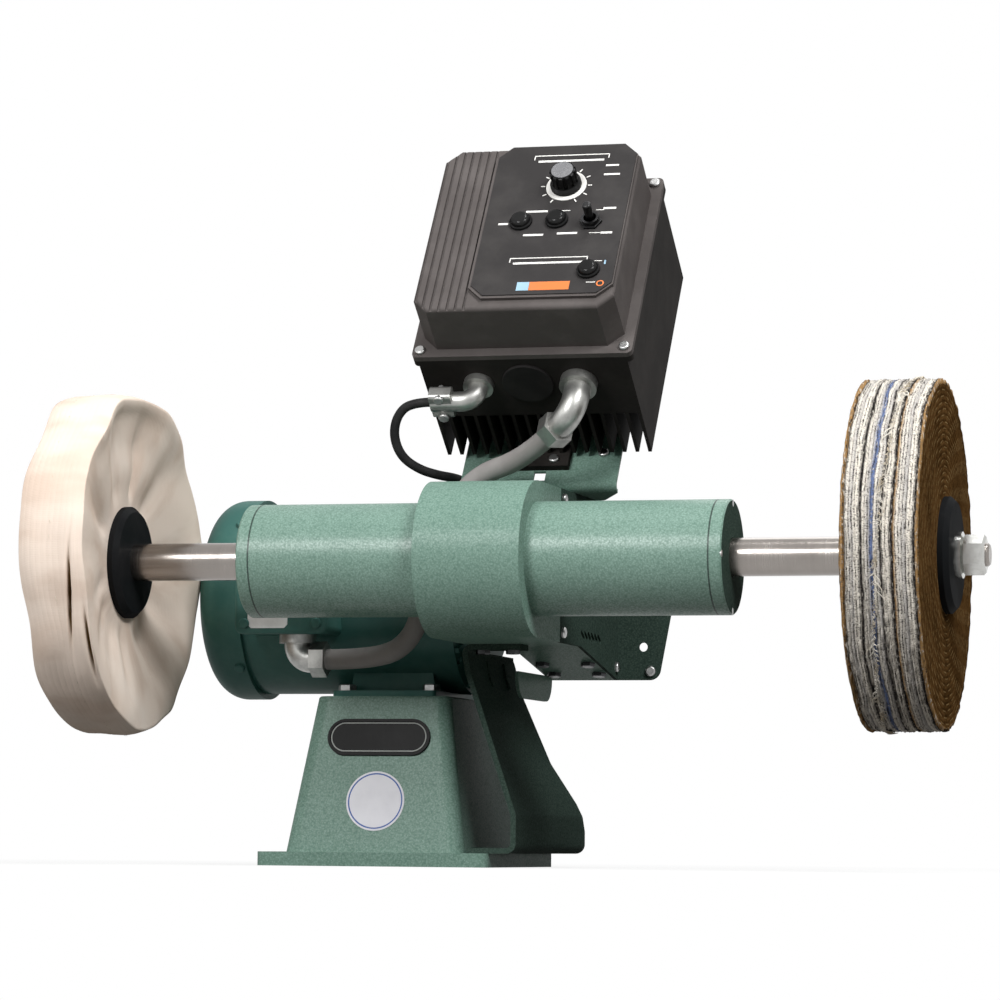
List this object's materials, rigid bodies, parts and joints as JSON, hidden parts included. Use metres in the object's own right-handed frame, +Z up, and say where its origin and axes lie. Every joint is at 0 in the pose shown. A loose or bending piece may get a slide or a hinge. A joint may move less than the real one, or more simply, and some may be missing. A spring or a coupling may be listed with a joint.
{
  "type": "polishing lathe",
  "caption": "Bench polishing lathe: a long belt-driven spindle carries a cotton buff and a stitched wheel, with the motor on a pedestal and a speed control on top.",
  "frame": {"origin": "centre of the pedestal's underside, at the middle of its hold-down holes", "axes": "+X along the spindle to the stitched wheel, +Y from the operator to the motor side, +Z up"},
  "size_m": [0.8089, 0.6, 0.6198],
  "materials": {
    "hammer_green": "hammered green enamel",
    "motor_teal": "smooth gloss enamel",
    "bright_steel": "ground bright",
    "plated_nut": "zinc plated",
    "dark_bolt": "black oxide",
    "screw_steel": "plated",
    "black_flange": "satin black",
    "cotton_cloth": "loose unbleached cotton",
    "stitched_cloth": "treated stitched cloth",
    "cast_pulley": "turned",
    "belt_rubber": "matte",
    "stator_iron": "varnished core and windings",
    "fan_plastic": "matte",
    "name_plate_black": "gloss black",
    "sink_black": "black anodised",
    "cover_black": "textured",
    "panel_black": "satin overlay",
    "knob_black": "gloss",
    "toggle_metal": "plated",
    "board_green": "circuit board",
    "zinc_fitting": "die cast",
    "conduit_grey": "satin jacket",
    "cord_black": "satin jacket"
  },
  "bodies": {
    "frame": {"pedestal": "hammer_green", "spindle_housing": "hammer_green", "left_end_cap": "hammer_green", "right_end_cap": "hammer_green", "belt_guard": "hammer_green", "guard_side_plate": "hammer_green", "guard_back_plate": "hammer_green", "strut": "hammer_green", "control_bracket": "hammer_green", "motor_frame": "motor_teal", "motor_foot": "motor_teal", "motor_drive_bell": "motor_teal", "motor_rear_bell": "motor_teal", "motor_fan_cover": "motor_teal", "conduit_box": "motor_teal", "conduit_box_cover": "motor_teal", "spindle_bearings": "bright_steel", "motor_bearings": "bright_steel", "guard_bolts": "dark_bolt", "motor_screws": "screw_steel", "motor_foot_bolts": "screw_steel", "conduit_box_screws": "screw_steel", "end_cap_screws": "screw_steel", "guard_screws": "screw_steel", "control_screws": "screw_steel", "drive_belt": "belt_rubber", "motor_stator": "stator_iron", "name_plate": "name_plate_black", "heat_sink": "sink_black", "control_feet": "sink_black", "control_case": "sink_black", "control_cover": "cover_black", "knockout_plug": "cover_black", "control_panel": "panel_black", "button_collars": "knob_black", "toggle_bush": "toggle_metal", "control_board": "board_green", "speed_potentiometer": "board_green", "upper_elbow": "zinc_fitting", "lower_elbow": "zinc_fitting", "cord_clamp": "zinc_fitting", "conduit": "conduit_grey", "power_cord": "cord_black", "power_cord_coil": "cord_black", "cord_tie": "cord_black", "power_plug": "cord_black"},
    "spindle": {"spindle_shaft": "bright_steel", "arbor_flanges": "black_flange", "arbor_nuts": "plated_nut", "cotton_wheel": "cotton_cloth", "stitched_wheel": "stitched_cloth", "spindle_pulley": "cast_pulley"},
    "rotor": {"motor_shaft": "bright_steel", "motor_fan": "fan_plastic", "motor_pulley": "cast_pulley"},
    "speed_knob": {"speed_knob": "knob_black"},
    "toggle_lever": {"toggle_lever": "toggle_metal"},
    "left_button": {"left_button": "knob_black"},
    "middle_button": {"middle_button": "knob_black"},
    "power_button": {"power_button": "knob_black"}
  },
  "joints": [
    {"name": "spindle_spin", "type": "hinge", "parent": "frame", "child": "spindle", "pos_m": [0, -0.21, 0.2558], "axis": [1, 0, 0], "continuous": true},
    {"name": "motor_spin", "type": "hinge", "parent": "frame", "child": "rotor", "pos_m": [0, 0, 0.2359], "axis": [1, 0, 0], "continuous": true},
    {"name": "speed_knob_turn", "type": "hinge", "parent": "frame", "child": "speed_knob", "pos_m": [0.1733, -0.13266, 0.5798], "axis": [0, -0.809, 0.5878], "range_deg": [-150, 150]},
    {"name": "toggle_tilt", "type": "hinge", "parent": "frame", "child": "toggle_lever", "pos_m": [0.20139, -0.15855, 0.54417], "axis": [1, 0, 0], "range_deg": [-14, 14], "stiffness_Nm_per_rad": 0.08},
    {"name": "left_button_press", "type": "slide", "parent": "frame", "child": "left_button", "axis": [0, 0.809, -0.5878], "range_m": [0, 0.0025], "stiffness_N_per_m": 500, "springref_m": -0.0015},
    {"name": "middle_button_press", "type": "slide", "parent": "frame", "child": "middle_button", "axis": [0, 0.809, -0.5878], "range_m": [0, 0.0025], "stiffness_N_per_m": 500, "springref_m": -0.0015},
    {"name": "power_button_press", "type": "slide", "parent": "frame", "child": "power_button", "axis": [0, 0.809, -0.5878], "range_m": [0, 0.0025], "stiffness_N_per_m": 500, "springref_m": -0.0015}
  ],
  "couplings": [
    {"joint": "motor_spin", "follows": "spindle_spin", "ratio": 1}
  ]
}
